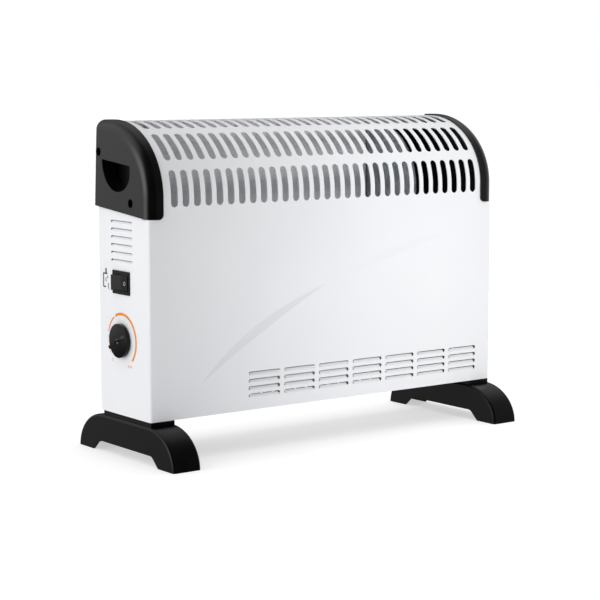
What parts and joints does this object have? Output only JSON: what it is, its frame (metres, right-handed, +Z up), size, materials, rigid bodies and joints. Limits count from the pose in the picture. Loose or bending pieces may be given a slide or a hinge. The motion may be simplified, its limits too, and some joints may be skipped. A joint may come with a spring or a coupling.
{
  "type": "fan convector heater",
  "caption": "Free-standing fan convector heater: folded steel casing with a slotted rolled top, moulded end caps with grips, arched feet, side thermostat knob and rocker switch.",
  "frame": {"origin": "middle of the bounding box at floor level", "axes": "+X along the casing, away from the controls; +Y to the rear; +Z up"},
  "size_m": [0.5412, 0.215, 0.4005],
  "materials": {
    "white_paint": "white powder coat, fine satin",
    "black_plastic": "moulded, satin",
    "gloss_black_plastic": "moulded, polished",
    "duct_plastic": "moulded, matt",
    "ivory_plastic": "moulded",
    "galvanised_steel": "zinc coated sheet",
    "bright_steel": "aluminised sheet, bright",
    "zinc_screws": "zinc plated",
    "black_screws": "black oxide",
    "brass": "stamped",
    "bronze": "sintered",
    "phenolic": "moulded phenolic",
    "impeller_aluminium": "pressed",
    "lamination_steel": "stacked laminations",
    "coil_tape": "wound and taped",
    "mica": "pressed mica board",
    "ceramic": "glazed ceramic",
    "resistance_wire": "oxidised nickel-chrome wire"
  },
  "bodies": {
    "casing": {"front_casing": "white_paint", "rear_panel": "white_paint", "base_panel": "galvanised_steel", "left_end_cap": "black_plastic", "right_end_cap": "black_plastic", "left_cap_bracket": "galvanised_steel", "right_cap_bracket": "galvanised_steel", "end_cap_screws": "black_screws", "left_foot": "black_plastic", "right_foot": "black_plastic", "foot_screws": "zinc_screws", "casing_screws": "zinc_screws", "switch_body": "gloss_black_plastic", "switch_terminals": "brass", "thermostat_body": "phenolic", "thermostat_screws": "zinc_screws", "thermostat_terminals": "brass", "fan_shroud": "duct_plastic", "fan_duct": "duct_plastic", "fan_stator": "lamination_steel", "fan_coil": "coil_tape", "fan_bearings": "bronze", "fan_bridge": "galvanised_steel", "fan_strap": "galvanised_steel", "fan_screws": "zinc_screws", "divider": "galvanised_steel", "rear_heat_shield": "bright_steel", "front_heat_shield": "bright_steel", "element_frame": "galvanised_steel", "mica_cards": "mica", "ceramic_bushes": "ceramic", "heating_coils": "resistance_wire", "thermal_cutout": "phenolic", "terminal_block": "ivory_plastic", "cord_gland": "black_plastic"},
    "dial": {"thermostat_knob": "gloss_black_plastic", "thermostat_spindle": "zinc_screws"},
    "rocker": {"switch_rocker": "gloss_black_plastic"},
    "fan": {"fan_shaft": "zinc_screws", "fan_rotor": "lamination_steel", "fan_impeller": "impeller_aluminium"}
  },
  "joints": [
    {"name": "thermostat_turn", "type": "hinge", "parent": "casing", "child": "dial", "pos_m": [-0.261, 0.006, 0.141], "axis": [-1, 0, 0], "range_deg": [-265, 22]},
    {"name": "switch_rock", "type": "hinge", "parent": "casing", "child": "rocker", "pos_m": [-0.257, 0.0054, 0.21], "axis": [0, 0, 1], "range_deg": [-22, 0]},
    {"name": "fan_spin", "type": "hinge", "parent": "casing", "child": "fan", "pos_m": [0.195, 0, 0.074], "axis": [0, 0, 1], "continuous": true}
  ]
}
